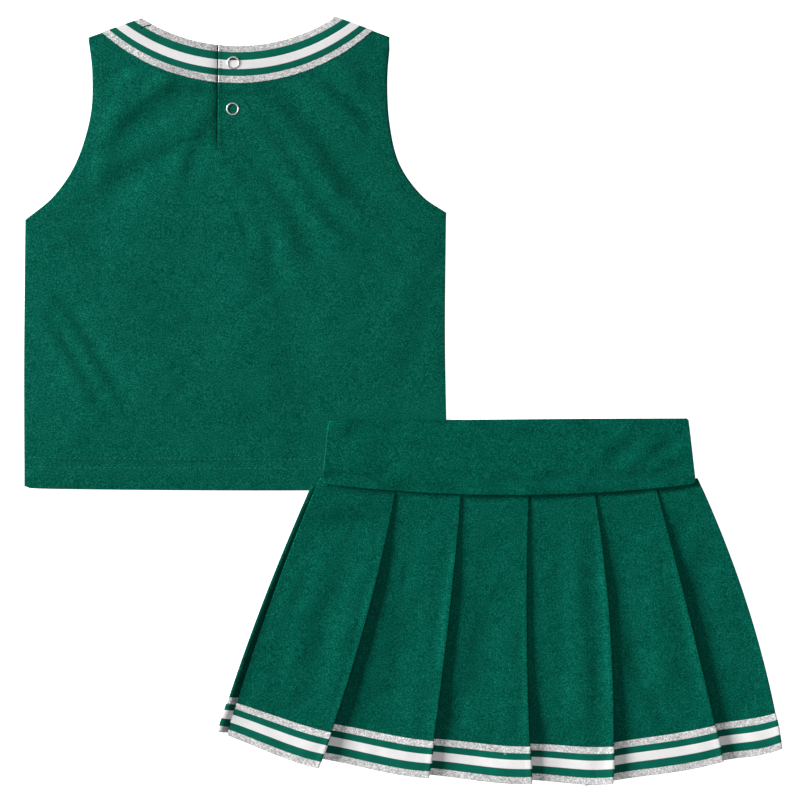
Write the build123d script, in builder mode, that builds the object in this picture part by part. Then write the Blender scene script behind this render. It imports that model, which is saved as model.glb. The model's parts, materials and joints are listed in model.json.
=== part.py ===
from build123d import *
import os
from math import radians, sqrt, tan

# A small child's cheer uniform laid out flat: a sleeveless shell top with its snapped back
# opening uppermost, and a knife-pleated skirt whose waistband lies over the top's lower corner.
# Millimetres. The XY plane is the surface it lies on, +Z is up and +Y points to the collar.

# Cloth
fabric = 0.6            # thickness of the stretch knit
metallic_braid = 0.4    # thickness of the wide glitter braid
plain_braid = 0.25      # thickness of each narrower braid sewn over it
braid_stack = metallic_braid + 2 * plain_braid
play = 0.3              # space between layers that move apart
seam_wall = 0.8         # width of a side or shoulder seam

# Top: its centre line, outline and heights
top_x = -120.5
hem_half = 153.9
chest_half = 152.6
hem_y = -66.0
underarm_y = 132.7
shoulder_tip = (109.1, 262.4)
neck_point = (70.0, 277.6)
armhole_curve = [(126.2, 155.5), (109.5, 194.0), (106.3, 230.0)]
body_gap = 4.8          # space left for the wearer between front and back
collar_lift = 0.1       # the front collar's braid hangs just clear of the surface
back_z = fabric + body_gap
top_surface = back_z + fabric
front_collar_z = collar_lift + braid_stack

# Necklines. Back: a shallow arc. Front: a deep scoop that ends at the same shoulder points.
back_neck_radius = 130.8
back_neck_centre = 386.8
back_band_radius = 146.2
back_band_centre = 375.0
front_neck_radius = 70.0
front_neck_centre = 276.0
front_band_width = 27.3
green_inner, green_outer = 0.18, 0.81   # green braid's edges, as shares of the band's width
white_inner, white_outer = 0.39, 0.63   # white braid's edges

# Where the skirt lies on the top, the top's lower corner is pressed flat
press_start = (-155.0, hem_y)
press_end = (top_x + hem_half, 80.0)
ramp_run = 16.0

# Back opening: a slit, the flap that laps over it and the underlap behind it
slit_x = -133.8
slit_foot_y = 180.9
fold_angle = 36.0       # the flap folds open on a line this far from upright
flap_reach = 110.0
slit_gap = 1.0          # room at the slit for the flap's lower edge as it turns
underlap_left = -141.6
underlap_right = -106.0
underlap_foot_y = 177.0
underlap_z = 3.4
snap_places = {"upper": (-122.4, 243.5), "lower": (-122.8, 210.2)}

# Snap fasteners: an open prong ring outside, a socket, a stud and a prong ring behind
ring_radius = 4.75
ring_hole = 3.4
ring_height = 0.6
socket_radius = 4.9
socket_hole = 1.8
socket_height = 0.8
stud_radius = 1.5
stud_base_radius = 4.6
stud_base_height = 0.3
stud_height = 1.1

# Skirt: waistband, folds and heights
band_top = [(-53.3, -14.5), (206.9, -13.6)]
band_foot = [(-58.0, -60.97), (213.5, -61.1)]
seam_lowest = (78.0, -69.3)
seam_radius = 1114.0
band_skin = 0.4
elastic = 0.8
band_sheet = 2 * band_skin + elastic
elastic_margin = 1.0
skirt_z = 2 * fabric + play             # the skirt's back clears the pressed corner
band_front_z = 7.6
underfold_z = band_front_z
pleat_z = underfold_z + fabric + play
pleat_surface = pleat_z + fabric
skirt_top = pleat_surface + braid_stack
fold_tops = [-61.5, -4.9, 42.5, 91.5, 139.3, 183.7, 215.5]
fold_feet = [(-126.7, -243.2), (-60.8, -266.2), (18.8, -273.4), (93.4, -277.6),
             (152.0, -277.6), (231.7, -261.4), (274.4, -253.3)]
hem_rises = [0.0, 6.4, 0.0, 2.4, 1.6, 3.4]   # how much higher each hem starts than its neighbour ends
side_top = (-67.0, -64.5)
side_foot = (-133.6, -240.4)
back_hem_lowest = (75.0, -271.0)
back_hem_right = (270.0, -249.5)
hem_band = 27.0
pleat_gap = 0.8
seam_gap = 1.2
underfold_shift = 8.0
hem_setback = 4.0

os.makedirs("parts", exist_ok=True)


def keep(builder, name):
    """Labels a finished piece and writes it."""
    builder.part.label = name
    export_step(builder.part, f"parts/{name}.step")


# ---------------------------------------------------------------- plan shapes of the top

def top_outline():
    """Front or back of the top, with a straight shoulder line across where the neck will be."""
    slope = (neck_point[1] - shoulder_tip[1]) / (shoulder_tip[0] - neck_point[0])
    peak = (0, neck_point[1] + slope * neck_point[0])
    with BuildSketch(Plane((top_x, 0, 0))) as sketch:
        with BuildLine():
            hem = Line((0, hem_y), (hem_half, hem_y))
            side = Line(hem @ 1, (chest_half, underarm_y))
            armhole = Spline(side @ 1, *armhole_curve, shoulder_tip)
            shoulder = Line(armhole @ 1, peak)
            Line(shoulder @ 1, hem @ 0)
        make_face()
        mirror(about=Plane.YZ)
    return sketch.sketch


def back_circle(share):
    """The disc whose edge follows the back collar band, at a share of its width from the neck."""
    centre = back_neck_centre + share * (back_band_centre - back_neck_centre)
    radius = back_neck_radius + share * (back_band_radius - back_neck_radius)
    with BuildSketch() as sketch:
        with Locations((top_x, centre)):
            Circle(radius)
    return sketch.sketch


def front_circle(share):
    """The disc whose edge follows the front collar band."""
    with BuildSketch() as sketch:
        with Locations((top_x, front_neck_centre)):
            Circle(front_neck_radius + share * front_band_width)
    return sketch.sketch


def flap_triangle(grow, inset=0.0):
    """The flap's share of the back: left of it the slit, right of it the fold line."""
    slope = tan(radians(fold_angle))
    left_x, top_y = slit_x + inset, slit_foot_y + flap_reach
    corners = [(left_x, slit_foot_y + inset / slope), (slit_x + flap_reach * slope, top_y),
               (left_x, top_y)]
    with BuildSketch() as sketch:
        Polygon(*corners, align=None)
        if grow:
            offset(amount=grow, kind=Kind.INTERSECTION)
    return sketch.sketch


def beyond_press(distance):
    """Everything on the skirt's side of the press line, from this distance past it."""
    start, end = Vector(*press_start), Vector(*press_end)
    along = (end - start).normalized()
    across = Vector(along.Y, -along.X)
    near = [start - along * 60 + across * distance, end + along * 60 + across * distance]
    far = [near[1] + across * 300, near[0] + across * 300]
    with BuildSketch() as sketch:
        Polygon(*[(p.X, p.Y) for p in near + far], align=None)
    return sketch.sketch


outline = top_outline()
back_shape = outline - back_circle(0)
front_shape = outline - front_circle(0)
flap_shape = flap_triangle(0, slit_gap)
flap_opening = flap_triangle(play)


# ---------------------------------------------------------------- top: front, back and seams

with BuildPart() as top_front_panel:
    with BuildSketch():
        add(front_shape)
        add(front_circle(1), mode=Mode.SUBTRACT)
    extrude(amount=fabric)
    with BuildSketch(Plane.XY.offset(front_collar_z)):
        add(front_shape)
        add(front_circle(1), mode=Mode.INTERSECT)
    extrude(amount=fabric)
    with BuildSketch():
        add(front_shape)
        add(front_circle(1 + seam_wall / front_band_width), mode=Mode.INTERSECT)
        add(front_circle(1), mode=Mode.SUBTRACT)
    extrude(amount=front_collar_z + fabric)
keep(top_front_panel, "top_front_panel")

press_line = Vector(*press_end) - Vector(*press_start)
press_along = press_line.normalized()
ramp_overrun = 60.0
ramp_plane = Plane(
    origin=Vector(*press_end) + press_along * ramp_overrun,
    x_dir=(press_along.Y, -press_along.X, 0),
    z_dir=-press_along,
)

with BuildPart() as top_back_panel:
    with BuildSketch(ramp_plane):
        Polygon((0, back_z), (0, top_surface), (ramp_run, 2 * fabric), (ramp_run, fabric), align=None)
    extrude(amount=press_line.length + 2 * ramp_overrun)
    with BuildSketch():
        add(back_shape)
    extrude(amount=top_surface, mode=Mode.INTERSECT)
    with BuildSketch(Plane.XY.offset(back_z)):
        add(back_shape)
        add(flap_opening, mode=Mode.SUBTRACT)
        add(beyond_press(0), mode=Mode.SUBTRACT)
    extrude(amount=fabric)
    with BuildSketch(Plane.XY.offset(fabric)):
        add(back_shape)
        add(beyond_press(ramp_run), mode=Mode.INTERSECT)
    extrude(amount=fabric)
keep(top_back_panel, "top_back_panel")

with BuildPart() as top_side_seams:
    with BuildSketch(Plane.XY.offset(fabric)):
        for side_of, foot_y in ((-1, hem_y), (1, press_end[1])):
            share = (foot_y - hem_y) / (underarm_y - hem_y)
            foot_half = hem_half + share * (chest_half - hem_half)
            outer = [(top_x + side_of * foot_half, foot_y), (top_x + side_of * chest_half, underarm_y)]
            inner = [(x - side_of * seam_wall, y) for x, y in reversed(outer)]
            Polygon(*outer, *inner, align=None)
    extrude(amount=body_gap)
keep(top_side_seams, "top_side_seams")


def shoulder_strip(clip, mode):
    """A narrow strip along both shoulder lines, kept inside or outside a clipping shape."""
    with BuildSketch() as sketch:
        add(outline)
        with Locations((0, -seam_wall)):
            add(outline, mode=Mode.SUBTRACT)
        add(back_circle(0), mode=Mode.SUBTRACT)
        with Locations((top_x, neck_point[1])):
            Rectangle(2 * shoulder_tip[0] - 2, 40, mode=Mode.INTERSECT)
        add(clip, mode=mode)
    return sketch.sketch


collar_reach = front_circle(1 + seam_wall / front_band_width)

with BuildPart() as top_shoulder_seams:
    with BuildSketch(Plane.XY.offset(front_collar_z + fabric)):
        add(shoulder_strip(collar_reach, Mode.INTERSECT))
    extrude(amount=body_gap - front_collar_z)
    with BuildSketch(Plane.XY.offset(fabric)):
        add(shoulder_strip(collar_reach, Mode.SUBTRACT))
    extrude(amount=body_gap)
keep(top_shoulder_seams, "top_shoulder_seams")


# ---------------------------------------------------------------- collar braids

def ring_of(disc, inner, outer):
    """The stretch of a collar band between two shares of its width."""
    with BuildSketch() as sketch:
        add(disc(outer))
        add(disc(inner), mode=Mode.SUBTRACT)
        add(outline, mode=Mode.INTERSECT)
    return sketch.sketch


# colour: inner and outer share of the band, height above the cloth, thickness
braid_layers = {
    "silver": (0.0, 1.0, 0.0, metallic_braid),
    "green": (green_inner, green_outer, metallic_braid, plain_braid),
    "white": (white_inner, white_outer, metallic_braid + plain_braid, plain_braid),
}

for colour, (inner, outer, height, thickness) in braid_layers.items():
    back_ring = ring_of(back_circle, inner, outer)
    front_ring = ring_of(front_circle, inner, outer)
    with BuildPart() as collar_braid:
        with BuildSketch(Plane.XY.offset(top_surface + height)):
            add(back_ring)
            add(flap_opening, mode=Mode.SUBTRACT)
        extrude(amount=thickness)
        with BuildSketch(Plane.XY.offset(front_collar_z - height - thickness)):
            add(front_ring)
        extrude(amount=thickness)
    keep(collar_braid, f"collar_{colour}_braid")
    with BuildPart() as flap_braid:
        with BuildSketch(Plane.XY.offset(top_surface + height)):
            add(back_ring)
            add(flap_shape, mode=Mode.INTERSECT)
        extrude(amount=thickness)
    keep(flap_braid, f"flap_{colour}_braid")


# ---------------------------------------------------------------- back opening and its snaps

with BuildPart() as placket_flap:
    with BuildSketch(Plane.XY.offset(back_z)):
        add(back_shape)
        add(flap_shape, mode=Mode.INTERSECT)
    extrude(amount=fabric)
keep(placket_flap, "placket_flap")

underlap_centre = (underlap_left + underlap_right) / 2
underlap_height = 100.0

with BuildPart() as placket_underlap:
    with BuildSketch(Plane.XY.offset(underlap_z)):
        with Locations((underlap_centre, underlap_foot_y + underlap_height / 2)):
            Rectangle(underlap_right - underlap_left, underlap_height)
        add(back_circle(0), mode=Mode.SUBTRACT)
    extrude(amount=fabric)
    with BuildSketch(Plane.XY.offset(underlap_z)):
        with Locations((underlap_left + fabric / 2, underlap_foot_y + underlap_height / 2)):
            Rectangle(fabric, underlap_height)
        add(back_circle(0), mode=Mode.SUBTRACT)
    extrude(amount=back_z - underlap_z)
keep(placket_underlap, "placket_underlap")

ring_seats = {"upper": top_surface + braid_stack, "lower": top_surface}
stud_z = underlap_z + fabric

for level, place in snap_places.items():
    with BuildPart() as snap_ring:
        with BuildSketch(Plane.XY.offset(ring_seats[level])):
            with Locations(place):
                Circle(ring_radius)
                Circle(ring_hole, mode=Mode.SUBTRACT)
        extrude(amount=ring_height)
        fillet(snap_ring.edges().group_by(Axis.Z)[-1], 0.25)
    keep(snap_ring, f"snap_ring_{level}")

    with BuildPart() as snap_socket:
        with BuildSketch(Plane.XY.offset(back_z - socket_height)):
            with Locations(place):
                Circle(socket_radius)
                Circle(socket_hole, mode=Mode.SUBTRACT)
        extrude(amount=socket_height)
    keep(snap_socket, f"snap_socket_{level}")

    with BuildPart() as snap_stud:
        with BuildSketch(Plane.XY.offset(stud_z)):
            with Locations(place):
                Circle(stud_base_radius)
        extrude(amount=stud_base_height)
        with BuildSketch(Plane.XY.offset(stud_z)):
            with Locations(place):
                Circle(stud_radius)
        extrude(amount=stud_height)
        fillet(snap_stud.edges().group_by(Axis.Z)[-1], 0.3)
    keep(snap_stud, f"snap_stud_{level}")

    with BuildPart() as snap_back_ring:
        with BuildSketch(Plane.XY.offset(underlap_z - ring_height)):
            with Locations(place):
                Circle(ring_radius)
                Circle(ring_hole, mode=Mode.SUBTRACT)
        extrude(amount=ring_height)
    keep(snap_back_ring, f"snap_back_ring_{level}")


# ---------------------------------------------------------------- waistband

def seam_y(x):
    """Height up the plan of the curved seam between waistband and pleats."""
    return seam_lowest[1] + seam_radius - sqrt(seam_radius**2 - (x - seam_lowest[0]) ** 2)


def band_shape(margin):
    """The waistband's plan shape, drawn in by a margin."""
    with BuildSketch() as sketch:
        with BuildLine():
            top_edge = Line(*band_top)
            right_edge = Line(top_edge @ 1, band_foot[1])
            foot = ThreePointArc(right_edge @ 1, seam_lowest, band_foot[0])
            Line(foot @ 1, top_edge @ 0)
        make_face()
        if margin:
            offset(amount=-margin, kind=Kind.INTERSECTION)
    return sketch.sketch


whole_band = band_shape(0)
elastic_shape = band_shape(elastic_margin)
band_levels = {"waistband_back": skirt_z, "waistband_front": band_front_z}

for name, level in band_levels.items():
    with BuildPart() as waistband:
        with BuildSketch(Plane.XY.offset(level)):
            add(whole_band)
        extrude(amount=band_sheet)
        with BuildSketch(Plane.XY.offset(level + band_skin)):
            add(elastic_shape)
        extrude(amount=elastic, mode=Mode.SUBTRACT)
    keep(waistband, name)

with BuildPart() as waistband_elastic:
    for level in band_levels.values():
        with BuildSketch(Plane.XY.offset(level + band_skin)):
            add(elastic_shape)
        extrude(amount=elastic)
keep(waistband_elastic, "waistband_elastic")

with BuildPart() as waistband_side_seams:
    with BuildSketch(Plane.XY.offset(skirt_z + band_sheet)):
        for end, inward in ((0, 1), (1, -1)):
            outer = [band_top[end], band_foot[end]]
            inner = [(x + inward * seam_wall, y) for x, y in reversed(outer)]
            Polygon(*outer, *inner, align=None)
    extrude(amount=band_front_z - skirt_z - band_sheet)
keep(waistband_side_seams, "waistband_side_seams")


# ---------------------------------------------------------------- skirt: back, sides, underfolds

def along(start, end, distance):
    """The point this far from start towards end."""
    step = (Vector(*end) - Vector(*start)).normalized() * distance
    return (start[0] + step.X, start[1] + step.Y)


right_top = (fold_tops[-1], seam_y(fold_tops[-1]))
right_foot = fold_feet[-1]
right_middle = (252.5, -160.0)   # the skirt's right edge bulges out a little


def back_skirt_shape(lift_hem):
    """The skirt's back in plan, with its hem raised by this much."""
    left_hem = along(side_foot, side_top, lift_hem)
    right_hem = along(back_hem_right, right_top, lift_hem)
    middle = (back_hem_lowest[0], back_hem_lowest[1] + lift_hem)
    with BuildSketch() as sketch:
        with BuildLine():
            left = Line(side_top, left_hem)
            hem = ThreePointArc(left @ 1, middle, right_hem)
            right = Line(hem @ 1, right_top)
            Line(right @ 1, side_top)
        make_face()
        add(whole_band, mode=Mode.SUBTRACT)
    return sketch.sketch


full_back = back_skirt_shape(0)
back_above_hem = back_skirt_shape(hem_band)
back_step = back_skirt_shape(hem_band - seam_wall) - back_above_hem

with BuildPart() as skirt_back_panel:
    with BuildSketch(Plane.XY.offset(skirt_z)):
        add(back_above_hem)
    extrude(amount=fabric)
    with BuildSketch(Plane.XY.offset(braid_stack)):
        add(full_back)
        add(back_above_hem, mode=Mode.SUBTRACT)
    extrude(amount=fabric)
    with BuildSketch(Plane.XY.offset(braid_stack)):
        add(back_step)
    extrude(amount=skirt_z + fabric - braid_stack)
keep(skirt_back_panel, "skirt_back_panel")

for colour, (inner, outer, height, thickness) in braid_layers.items():
    with BuildPart() as back_braid:
        with BuildSketch(Plane.XY.offset(braid_stack - height - thickness)):
            add(back_skirt_shape(hem_band * inner))
            add(back_skirt_shape(hem_band * outer), mode=Mode.SUBTRACT)
        extrude(amount=thickness)
    keep(back_braid, f"skirt_back_{colour}_braid")

fold_heads = [(x, seam_y(x)) for x in fold_tops]


def underfold_shape(index):
    """The cloth folded under one pleat, set a little to the right of the pleat's own edges."""
    shift_left = 0 if index == 0 else underfold_shift
    shift_right = 0 if index == len(fold_tops) - 2 else underfold_shift
    heads = [along(fold_heads[i], fold_feet[i], -hem_setback) for i in (index, index + 1)]
    feet = [along(fold_feet[i], fold_heads[i], hem_setback) for i in (index, index + 1)]
    corners = [(heads[0][0] + shift_left, heads[0][1]), (heads[1][0] + shift_right, heads[1][1]),
               (feet[1][0] + shift_right - pleat_gap, feet[1][1]), (feet[0][0] + shift_left, feet[0][1])]
    with BuildSketch() as sketch:
        Polygon(*corners, align=None)
        add(whole_band, mode=Mode.SUBTRACT)
    return sketch.sketch


with BuildPart() as skirt_underfolds:
    for index in range(len(fold_tops) - 1):
        with BuildSketch(Plane.XY.offset(underfold_z)):
            add(underfold_shape(index))
            for earlier in range(index):
                add(underfold_shape(earlier), mode=Mode.SUBTRACT)
        extrude(amount=fabric)
keep(skirt_underfolds, "skirt_underfolds")

with BuildPart() as skirt_side_seams:
    with BuildSketch(Plane.XY.offset(skirt_z + fabric)):
        lower_left = along(side_foot, side_top, hem_band)
        lower_right = along(back_hem_right, right_top, hem_band)
        left_wall = [side_top, lower_left]
        right_wall = [along(right_top, lower_right, seam_gap), lower_right]
        for outer, inward in ((left_wall, 1), (right_wall, -1)):
            inner = [(x + inward * seam_wall, y) for x, y in reversed(outer)]
            Polygon(*outer, *inner, align=None)
        add(whole_band, mode=Mode.SUBTRACT)
    extrude(amount=underfold_z - skirt_z - fabric)
keep(skirt_side_seams, "skirt_side_seams")


# ---------------------------------------------------------------- pleats

def panel(head_left, head_right, foot_right, foot_left, low, high):
    """A pleat's four-sided shape between two heights above its hem."""
    corners = [along(foot_left, head_left, low), along(foot_right, head_right, low)]
    if high is None:
        corners += [head_right, head_left]
    else:
        corners += [along(foot_right, head_right, high), along(foot_left, head_left, high)]
    with BuildSketch() as sketch:
        Polygon(*corners, align=None)
    return sketch.sketch


def cloth_and_braids(name, corners, level):
    """Writes one pleat and the three layers of braid along its hem."""
    with BuildPart() as pleat:
        with BuildSketch(Plane.XY.offset(level)):
            add(panel(*corners, 0, None))
            add(whole_band, mode=Mode.SUBTRACT)
        extrude(amount=fabric)
    keep(pleat, name)
    for colour, (inner, outer, height, thickness) in braid_layers.items():
        with BuildPart() as hem_braid:
            with BuildSketch(Plane.XY.offset(level + fabric + height)):
                add(panel(*corners, hem_band * inner, hem_band * outer))
            extrude(amount=thickness)
        keep(hem_braid, f"{name}_{colour}_braid")


for index in range(len(fold_tops) - 1):
    left_head, right_head = fold_heads[index], fold_heads[index + 1]
    left_foot, right_foot = fold_feet[index], fold_feet[index + 1]
    raised_foot = along(left_foot, left_head, hem_rises[index])
    half_gap = pleat_gap / 2
    corners = (
        (left_head[0] + half_gap, left_head[1] - seam_gap),
        (right_head[0] - half_gap, right_head[1] - seam_gap),
        (right_foot[0] - (half_gap if index < len(fold_tops) - 2 else 0), right_foot[1]),
        (raised_foot[0] + half_gap, raised_foot[1]),
    )
    cloth_and_braids(f"pleat_{index + 1}", corners, pleat_z)

side_pleat_corners = (
    side_top,
    (fold_heads[0][0] - pleat_gap, fold_heads[0][1]),
    (fold_feet[0][0] - pleat_gap, fold_feet[0][1]),
    side_foot,
)
cloth_and_braids("side_pleat", side_pleat_corners, underfold_z)
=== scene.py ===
import json
import math

import bpy
import numpy as np
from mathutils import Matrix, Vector
from mathutils.geometry import delaunay_2d_cdt


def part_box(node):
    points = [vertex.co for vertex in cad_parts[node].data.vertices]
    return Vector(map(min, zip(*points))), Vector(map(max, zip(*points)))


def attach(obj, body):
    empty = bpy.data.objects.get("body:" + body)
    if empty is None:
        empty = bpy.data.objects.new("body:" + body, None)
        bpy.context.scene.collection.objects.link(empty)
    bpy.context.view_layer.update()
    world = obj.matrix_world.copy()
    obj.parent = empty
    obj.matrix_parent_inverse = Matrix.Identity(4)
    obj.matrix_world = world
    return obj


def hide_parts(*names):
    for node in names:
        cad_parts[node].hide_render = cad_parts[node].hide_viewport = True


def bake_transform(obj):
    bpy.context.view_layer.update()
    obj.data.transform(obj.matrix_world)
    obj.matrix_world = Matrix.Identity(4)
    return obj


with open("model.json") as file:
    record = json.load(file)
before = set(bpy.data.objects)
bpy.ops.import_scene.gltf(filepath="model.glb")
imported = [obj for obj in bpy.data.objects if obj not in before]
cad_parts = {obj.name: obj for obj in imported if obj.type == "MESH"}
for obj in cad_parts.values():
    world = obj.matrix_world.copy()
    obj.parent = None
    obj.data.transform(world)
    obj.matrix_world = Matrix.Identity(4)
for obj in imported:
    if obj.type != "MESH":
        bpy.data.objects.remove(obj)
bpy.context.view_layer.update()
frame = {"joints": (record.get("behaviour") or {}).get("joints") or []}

# Everything below is worked out in millimetres and turned into metres when a mesh is made.
MM = 0.001


def cad_box(node):
    """A CAD node's lowest and highest corner, in millimetres."""
    low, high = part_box(node)
    return np.array(low) / MM, np.array(high) / MM


# ---------------------------------------------------------------- small maths

def unit(vectors):
    """The same vectors with a length of 1."""
    return vectors / np.maximum(np.linalg.norm(vectors, axis=-1, keepdims=True), 1e-9)


def smooth(start, end, value):
    """0 before start, 1 after end, and a soft turn between."""
    t = np.clip((np.asarray(value, float) - start) / (end - start), 0, 1)
    return t * t * (3 - 2 * t)


def resample(line, step):
    """The same line as evenly spaced points."""
    line = np.asarray(line, float)
    far = np.concatenate([[0], np.cumsum(np.linalg.norm(np.diff(line, axis=0), axis=1))])
    count = max(2, int(round(far[-1] / step)) + 1)
    at = np.linspace(0, far[-1], count)
    return np.stack([np.interp(at, far, line[:, i]) for i in range(line.shape[1])], axis=1)


def curve(points, step=2.0):
    """A smooth line through the points."""
    p = np.array(points, float)
    p = np.vstack([2 * p[0] - p[1], p, 2 * p[-1] - p[-2]])
    t = np.linspace(0, 1, 24, endpoint=False)[:, None]
    parts = []
    for a, b, c, d in zip(p[:-3], p[1:-2], p[2:-1], p[3:]):
        parts.append(
            0.5 * (2 * b + (c - a) * t + (2 * a - 5 * b + 4 * c - d) * t**2
                   + (3 * b - a - 3 * c + d) * t**3)
        )
    return resample(np.vstack(parts + [p[-2:-1]]), step)


def chain(*lines):
    """Lines joined end to end, without doubled points."""
    out = [lines[0]]
    for line in lines[1:]:
        out.append(line[1:])
    return np.vstack(out)


def distance_to(points, line, closed=False):
    """How far each point lies from a line in plan."""
    line = np.asarray(line, float)
    if closed:
        line = np.vstack([line, line[:1]])
    a, b = line[:-1], line[1:]
    along = b - a
    size = np.maximum((along**2).sum(1), 1e-9)
    best = np.full(len(points), 1e9)
    for start in range(0, len(points), 2000):
        p = points[start:start + 2000, None, :2]
        t = np.clip(((p - a) * along).sum(2) / size, 0, 1)
        gap = p - (a + t[..., None] * along)
        best[start:start + 2000] = np.sqrt((gap**2).sum(2)).min(1)
    return best


def is_inside(points, polygon):
    """Which points lie inside a closed outline."""
    x, y = points[:, 0], points[:, 1]
    found = np.zeros(len(points), bool)
    for (x0, y0), (x1, y1) in zip(polygon, np.roll(polygon, -1, axis=0)):
        if y0 == y1:
            continue
        crosses = (y0 > y) != (y1 > y)
        found ^= crosses & (x < (x1 - x0) * (y - y0) / (y1 - y0) + x0)
    return found


def ripple(x, y, length, seed, count=9):
    """Gentle uneven waves about this long, from -1 to 1."""
    random = np.random.default_rng(seed)
    total = np.zeros(np.shape(x))
    for _ in range(count):
        angle, phase = random.uniform(0, math.tau, 2)
        wave = length * random.uniform(0.7, 1.5)
        total = total + np.sin((x * math.cos(angle) + y * math.sin(angle)) * math.tau / wave + phase)
    return total / math.sqrt(count)


def creases(x, y, runs):
    """Height of soft creases. Each has a width, a depth and the points it runs through. The cloth falls
    to the left of the run, with a gentle rise on both sides, and the crease fades towards its ends."""
    x, y = np.asarray(x, float), np.asarray(y, float)
    total = np.zeros(x.size)
    at = np.column_stack([x.ravel(), y.ravel()])
    for width, depth, path in runs:
        path = curve(path, 6.0)
        near = np.all((at > path.min(0) - 4 * width) & (at < path.max(0) + 4 * width), axis=1)
        if not near.any():
            continue
        a, run = path[:-1], np.diff(path, axis=0)
        p = at[near, None] - a
        t = np.clip((p * run).sum(2) / (run**2).sum(1), 0, 1)
        gap = np.sqrt(((p - t[..., None] * run) ** 2).sum(2))
        nearest = gap.argmin(1)
        rows = np.arange(len(nearest))
        p, run = p[rows, nearest], run[nearest]
        side = np.sign(run[:, 0] * p[:, 1] - run[:, 1] * p[:, 0])
        off = side * gap[rows, nearest] / width
        share = (nearest + t[rows, nearest]) / (len(path) - 1)
        fade = smooth(-0.15, 0.22, share) * (1 - smooth(0.72, 1.1, share))
        total[near] -= depth * fade * off * np.exp(-(off**2) / 2)
    return total.reshape(x.shape)


# ---------------------------------------------------------------- meshes

EDGE_ROWS = (0.12, 0.35, 0.8)     # rows of points this far inside an edge, so that it can be rounded
HEM_ROWS = np.array([*EDGE_ROWS[::-1], 0.0])     # the same rows above a hem, and the hem itself


def new_object(name, points, faces, material):
    """A smooth mesh object from points in millimetres."""
    mesh = bpy.data.meshes.new(name)
    mesh.from_pydata((np.asarray(points) * MM).tolist(), [], faces)
    mesh.validate()
    mesh.shade_smooth()
    mesh.materials.append(material)
    obj = bpy.data.objects.new(name, mesh)
    bpy.context.scene.collection.objects.link(obj)
    return obj


def inset(outline, amount):
    """Points just inside a closed outline that runs anticlockwise."""
    before, after = np.roll(outline, 1, axis=0), np.roll(outline, -1, axis=0)
    run = unit(after - before)
    moved = outline + np.stack([-run[:, 1], run[:, 0]], axis=1) * amount
    keep = is_inside(moved, outline) & (distance_to(moved, outline, closed=True) > 0.8 * amount)
    return moved[keep]


def rounded(edge, roll, thickness):
    """Half a cloth's thickness this far from its edge, where it rolls down to nothing."""
    return np.sqrt(1 - (1 - np.clip(edge / roll, 0, 1)) ** 2) * thickness / 2


def plan_sheet(name, outline, height, material, thickness=0.6, spacing=3.0, roll=0.5, extra=None):
    """A cut of cloth lying on a height field: a closed mesh with rounded edges. Its points are a grid
    with this spacing, rows beside the outline, and any extra ones, which the grid leaves room for."""
    low, high = outline.min(0), outline.max(0)
    xs = np.arange(low[0], high[0], spacing)
    ys = np.arange(low[1], high[1], spacing * math.sqrt(3) / 2)
    grid = np.array([(x + (row % 2) * spacing / 2, y) for row, y in enumerate(ys) for x in xs])
    if extra is not None:
        grid = np.vstack([grid[distance_to(grid, extra) > 0.4 * spacing], extra])
    grid = grid[is_inside(grid, outline)]
    grid = grid[distance_to(grid, outline, closed=True) > EDGE_ROWS[-1] + 0.5 * spacing]
    points = np.vstack([outline, *(inset(outline, amount) for amount in EDGE_ROWS), grid])
    border = list(range(len(outline)))
    found = delaunay_2d_cdt([Vector(p) for p in points], [], [border], 1, 1e-6)
    xy = np.array([tuple(v) for v in found[0]])
    on_edge = np.array([any(i < len(outline) for i in origin) for origin in found[3]])
    edge = distance_to(xy, outline, closed=True)
    edge[on_edge] = 0
    swell = rounded(edge, roll, thickness)
    middle = height(xy[:, 0], xy[:, 1]) - thickness / 2
    upper = np.column_stack([xy, middle + swell])
    lower = np.column_stack([xy, middle - swell])[~on_edge]
    under = np.arange(len(xy))
    under[~on_edge] = len(xy) + np.arange(len(lower))
    faces = []
    for tri in found[2]:
        if not all(on_edge[i] for i in tri):
            faces += [tuple(tri), tuple(int(under[i]) for i in reversed(tri))]
    obj = new_object(name, np.vstack([upper, lower]), faces, material)
    return obj


def grid_normals(grid):
    """Unit normals of a grid of points, facing up where the rows run right and the columns down."""
    across = np.gradient(grid, axis=1)
    down = np.gradient(grid, axis=0)
    return unit(np.cross(down, across))


def edge_distances(grid):
    """How far each point of a grid lies from the grid's nearest side."""
    across = np.linalg.norm(np.diff(grid, axis=1), axis=2).cumsum(1)
    across = np.concatenate([np.zeros((len(grid), 1)), across], axis=1)
    down = np.linalg.norm(np.diff(grid, axis=0), axis=2).cumsum(0)
    down = np.concatenate([np.zeros((1, grid.shape[1])), down], axis=0)
    return np.minimum.reduce([across, across[:, -1:] - across, down, down[-1:] - down])


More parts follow.
